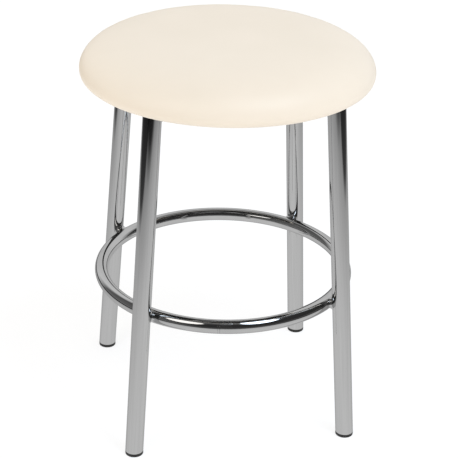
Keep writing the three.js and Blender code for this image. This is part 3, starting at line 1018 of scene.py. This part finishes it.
def pleat(cover):
    """Gathers the fold under the board into small overlapping tucks, deepest at its edge."""
    nudges = [chance.uniform(-PLEAT_STRAY, PLEAT_STRAY) for _ in range(PLEAT_COUNT)]
    starts = [(i + nudge) * 2 * math.pi / PLEAT_COUNT for i, nudge in enumerate(nudges)]
    edges = np.array(starts + [starts[0] + 2 * math.pi])
    points = np.array([v.co for v in cover.data.vertices])
    radius = np.hypot(points[:, 0], points[:, 1])
    angle = np.arctan2(points[:, 1], points[:, 0])
    angle = edges[0] + (angle - edges[0]) % (2 * math.pi)
    k = np.clip(np.searchsorted(edges, angle, side="right") - 1, 0, PLEAT_COUNT - 1)
    share = (angle - edges[k]) / (edges[k + 1] - edges[k])
    gather = np.clip(1 - (radius - FOLD_RADIUS) / COVER_FOLD, 0, 1) ** PLEAT_FADE_POWER
    tucked = (points[:, 2] < SEAT_BOTTOM + 1 * MM) & (radius < SEAT_RADIUS - SEAT_TUCK)
    points[:, 2] += np.where(tucked, PLEAT_DEPTH * gather * share ** PLEAT_RISE_POWER, 0)
    cover.data.vertices.foreach_set("co", points.ravel())


def make_cover():
    outline = seat_outline()
    rows = settled(outline)
    cover = cover_skin("seat_cushion_cover", rows)
    cover.modifiers.new("fine", "SUBSURF").levels = 1
    apply_modifiers(cover)
    pleat(cover)
    thick = cover.modifiers.new("thickness", "SOLIDIFY")
    thick.thickness = COVER_THICKNESS
    thick.offset = -1
    apply_modifiers(cover)
    cover.data.shade_smooth()
    dress(cover, "leatherette", LEATHERETTE, "seat_cover")


def make_dust_cloth():
    """A round of thin black cloth over the cover's folded edge, with a hole for each screw."""
    top = SEAT_BOTTOM - DUST_CLOTH_GAP
    low = top - DUST_CLOTH_THICKNESS
    rows = []
    for height, start, end in ((low, 0, DUST_CLOTH_RADIUS), (top, DUST_CLOTH_RADIUS, 0)):
        radii = [radius for radius in np.linspace(start, end, DUST_CLOTH_RINGS) if radius > 0]
        rows += [ring_of(Vector((0, 0, height)), radius, DUST_CLOTH_SIDES) for radius in radii]
    cloth = face_out(skin("dust_cloth", rows, first=Vector((0, 0, low)), last=Vector((0, 0, top))))
    drills = [turn(screw_drill(DUST_CLOTH_HOLE_RADIUS), degrees) for degrees in CORNERS.values()]
    dress(sharpen(cut(cloth, drills)), "plastic", DUST_CLOTH)


def make_staples():
    """Wire staples through the cloth and the fold, each at its own slight angle."""
    half = STAPLE_SPAN / 2
    low = SEAT_BOTTOM - STAPLE_DROP
    side = [(half, low + STAPLE_RISE), (half, low + STAPLE_CORNER)]
    side += rounding(half, low, STAPLE_CORNER, 20, 90, 5)
    middle = FOLD_RADIUS + STAPLE_INSET
    path = [Vector((middle, y, z)) for y, z in side + [(-y, z) for y, z in side[::-1]]]
    at = Matrix.Translation((middle, 0, 0))
    staples = []
    for degrees in staple_angles():
        staple = sweep("staple", path, [STAPLE_WIRE_RADIUS] * len(path), STAPLE_WIRE_SIDES)
        tilt = math.radians(chance.uniform(-STAPLE_TILT_DEGREES, STAPLE_TILT_DEGREES))
        staple.data.transform(at @ Matrix.Rotation(tilt, 4, "Z") @ at.inverted())
        stray = chance.uniform(-STAPLE_STRAY_DEGREES, STAPLE_STRAY_DEGREES)
        staples.append(turn(staple, degrees + stray))
    dress(merged("cover_staples", staples), "zinc", ZINC)


# Assembly

for corner in CORNERS:
    make_leg(corner)
    make_glide(corner)
    make_ring_weld(corner)
    make_rail_weld(corner)
    make_washer(corner)
    make_screw(corner)
    recoat(f"tee_nut_{corner}", ZINC)

make_ring()
make_rail("rail_long", "cross_rail_long", -leg_out(LEG_HIGH), leg_out(LEG_HIGH), 45)
make_rail("rail_half_left", "cross_rail_half_left", RAIL_WIDTH / 2, leg_out(LEG_HIGH), 135)
make_rail("rail_half_right", "cross_rail_half_right", RAIL_WIDTH / 2, leg_out(LEG_HIGH), -45)
for side in CROSS_WELDS:
    make_cross_weld(side)
make_cover()
make_dust_cloth()
make_staples()
recoat("seat_board", PLYWOOD)
recoat("seat_foam", FOAM)


# Studio
# Directions here are the camera's: X to the right, Y away from it. Azimuth 0 is towards it, and brightness
# 1 is white. Heights and places in the room lie on a ball of radius 1 round the stool.

FLOOR_REACH = 12
FLOOR_COLOUR = (0.3, 0.33, 0.385)
FLOOR_GLOW = 0.805
FLOOR_GLOW_FAR = 0.87
FLOOR_NEAR_FAR = (0.5, 1.8)
BOUNCE_COLOUR = grey(0.8)
BOUNCE_GLOW = 0.42
PAPER_CENTRE = (0.08, -0.2)
PAPER_IN_MIRRORS = 0.83
PAPER_FADE = 1.4
PAPER_SIDES = (0.98, 1.15)
PAPER_FRONT = (1.1, 1.45)
PAST_PAPER_SIDES = 0.15
PAST_PAPER_FRONT = 0.1
AMBIENT = (0.565, 0.485, 0.375)
AMBIENT_LOW = 2.0
AMBIENT_HIGH = 0.52
FILL = (0.15, 0.19, 0.26)
FILL_AZIMUTH = 38
BACKDROP = 0.8
BACKDROP_AZIMUTH = 172
BACKDROP_SIDES = (50, 70)
BACKDROP_TOP = (45, 62)
PAST_BACKDROP_TOP = 0.2
DARK_ROOM = 0.04
CEILING = 0.13
CEILING_HEIGHTS = (0.82, 0.95)
HORIZON = 0.1
HORIZON_HEIGHTS = (0.02, 0.2)
LEFT_WALL = 0.12
LEFT_WALL_PLACES = (-0.9, -0.3)


def paper_in_mirrors(shader):
    """How bright the white paper is where metal shows it. It is brightest round the stool, and it ends
    some way to the sides and in front."""
    x, y, _ = shader.parts(shader.place())
    aside = shader.sum("ABSOLUTE", shader.sum("SUBTRACT", x, PAPER_CENTRE[0]))
    ahead = shader.sum("MAXIMUM", shader.sum("SUBTRACT", PAPER_CENTRE[1], y), 0)
    # Painted light: the paper glows brightest round the stool and fades away from it, in place of the
    # lamps' light falling off across it. The drops at the sides and in front are where the paper ends.
    square = shader.sum("ADD", shader.sum("POWER", aside, 2), shader.sum("POWER", ahead, 2))
    spread = shader.sum("DIVIDE", square, PAPER_FADE ** 2)
    fade = shader.sum("POWER", math.e, shader.sum("MULTIPLY", spread, -1))
    sides = shader.ranged(aside, 1, PAST_PAPER_SIDES, *PAPER_SIDES)
    front = shader.ranged(ahead, 1, PAST_PAPER_FRONT, *PAPER_FRONT)
    ends = shader.sum("MULTIPLY", sides, front)
    return shader.sum("MULTIPLY", shader.sum("MULTIPLY", fade, ends), PAPER_IN_MIRRORS)


def make_floor():
    """Paper that the camera sees as white, with the stool's soft shadow on it. Metal near it shows it
    white too, and the stool is lit by what it throws back."""
    corners = [(x * FLOOR_REACH, y * FLOOR_REACH, 0) for x, y in ((-1, -1), (1, -1), (1, 1), (-1, 1))]
    floor = add_mesh("floor", corners, [(0, 1, 2, 3)])
    floor.rotation_euler.z = math.radians(CAMERA_TURN)
    shader = Shader("white_paper")

    def glowing(colour, strength):
        paper = shader.add("ShaderNodeBsdfDiffuse", {"Color": colour}).outputs["BSDF"]
        glow = shader.add("ShaderNodeEmission", {"Strength": strength}).outputs["Emission"]
        return shader.both(paper, glow)

    # Painted light: the paper's glow is weaker near the stool, so that its shadow shows there, and stronger
    # far off, where the lamps light the paper less.
    away = shader.vectors("LENGTH", shader.place())
    seen = glowing(FLOOR_COLOUR, shader.ranged(away, FLOOR_GLOW, FLOOR_GLOW_FAR, *FLOOR_NEAR_FAR))
    bounced = glowing(BOUNCE_COLOUR, BOUNCE_GLOW)
    in_mirrors = glowing(grey(0), paper_in_mirrors(shader))
    unseen = shader.chosen(shader.mirrored(), bounced, in_mirrors)
    shader.show(shader.chosen(shader.rays("Is Camera Ray"), unseen, seen))
    floor.data.materials.append(shader.material)


def make_world():
    """White where the camera looks. Metal shows the white backdrop behind the stool too, and the dark
    room in front of it. The rest is lit from all sides by warm light, most of it from low down, and from
    the front right by a little cool light."""
    world = bpy.data.worlds.new("studio")
    scene.world = world
    world.use_nodes = True
    nodes = Nodes(world.node_tree)
    where = nodes.add("ShaderNodeTexCoord").outputs["Generated"]
    turn_back = (0, 0, -math.radians(CAMERA_TURN))
    turned = nodes.add("ShaderNodeMapping", {"Vector": where, "Rotation": turn_back}).outputs["Vector"]
    x, y, z = nodes.parts(turned)

    def toward(degrees):
        """1 towards an azimuth, and less away from it."""
        across = nodes.sum("MULTIPLY", x, math.sin(math.radians(degrees)))
        return nodes.sum("MULTIPLY_ADD", y, -math.cos(math.radians(degrees)), across)

    def light(colour, strength):
        inputs = {"Color": colour, "Strength": strength}
        return nodes.add("ShaderNodeBackground", inputs).outputs["Background"]

    # A little over 1, so that nothing is divided by 0 straight overhead
    level = nodes.sum("SQRT", nodes.sum("SUBTRACT", 1.0001, nodes.sum("POWER", z, 2)))
    inner, outer = (math.cos(math.radians(a)) for a in BACKDROP_SIDES)
    low, high = (math.sin(math.radians(a)) for a in BACKDROP_TOP)
    behind = nodes.ranged(nodes.sum("DIVIDE", toward(BACKDROP_AZIMUTH), level), 0, 1, outer, inner)
    backdrop = nodes.sum("MULTIPLY", behind, nodes.ranged(z, BACKDROP, PAST_BACKDROP_TOP, low, high))
    ceiling = nodes.ranged(z, 0, CEILING, *CEILING_HEIGHTS)
    horizon = nodes.ranged(z, HORIZON, 0, *HORIZON_HEIGHTS)
    left = nodes.ranged(x, LEFT_WALL, 0, *LEFT_WALL_PLACES)
    room = nodes.sum("ADD", nodes.sum("ADD", ceiling, horizon), nodes.sum("ADD", left, DARK_ROOM))
    studio = light(grey(1), nodes.sum("ADD", backdrop, room))
    ambient = light(AMBIENT, nodes.ranged(z, AMBIENT_LOW, AMBIENT_HIGH, 0, 1))
    fill = light(FILL, nodes.sum("MAXIMUM", toward(FILL_AZIMUTH), 0))
    unseen = nodes.chosen(nodes.mirrored(), nodes.both(ambient, fill), studio)
    nodes.show(nodes.chosen(nodes.rays("Is Camera Ray"), unseen, light(grey(1), 1)))


def add_softbox(name, azimuth, elevation, distance, size, radiance, spin):
    """A lamp that looks at the stool from a direction. Its radiance is how bright its own face is."""
    data = bpy.data.lights.new(name, "AREA")
    data.shape = "ELLIPSE"
    data.size, data.size_y = size
    area = math.pi * size[0] * size[1] / 4
    brightest = max(radiance)
    data.energy = brightest * math.pi * area
    data.color = [part / brightest for part in radiance]
    lamp = bpy.data.objects.new(name, data)
    scene.collection.objects.link(lamp)
    a, e = math.radians(azimuth), math.radians(elevation)
    back = Vector((math.sin(a) * math.cos(e), -math.cos(a) * math.cos(e), math.sin(e)))
    look = back.to_track_quat("Z", "Y").to_matrix() @ Matrix.Rotation(math.radians(spin), 3, "Z")
    place = Matrix.Translation(Vector((0, 0, RING_HEIGHT)) + back * distance) @ look.to_4x4()
    lamp.matrix_world = Matrix.Rotation(math.radians(CAMERA_TURN), 4, "Z") @ place


def make_camera():
    data = bpy.data.cameras.new("camera")
    data.sensor_width = SENSOR_WIDTH
    data.lens = CAMERA_FOCAL_PIXELS / PHOTO_PIXELS * SENSOR_WIDTH
    camera = bpy.data.objects.new("camera", data)
    scene.collection.objects.link(camera)
    tilt, roll = math.radians(CAMERA_ELEVATION), math.radians(CAMERA_ROLL)
    ahead = Vector((0, math.cos(tilt), -math.sin(tilt)))
    right = Vector((1, 0, 0))
    up = right.cross(ahead)
    rolled_right = right * math.cos(roll) + up * math.sin(roll)
    rolled_up = up * math.cos(roll) - right * math.sin(roll)
    at = Vector((CAMERA_AIM_ASIDE, 0, CAMERA_AIM_HEIGHT)) - ahead * CAMERA_DISTANCE
    axes = Matrix((rolled_right, rolled_up, -ahead)).transposed().to_4x4()
    axes.translation = at
    camera.matrix_world = Matrix.Rotation(math.radians(CAMERA_TURN), 4, "Z") @ axes
    scene.camera = camera


make_floor()
make_world()
add_softbox(
    "softbox_left", azimuth=-38.5, elevation=48, distance=2.57,
    size=(1.15, 1.55), radiance=(1.85, 1.8, 1.73), spin=6,
)
add_softbox(
    "softbox_right", azimuth=51, elevation=62, distance=2.05,
    size=(0.8, 1.28), radiance=(3.7, 4.25, 4.85), spin=-30,
)
make_camera()
scene.view_settings.view_transform = "Standard"
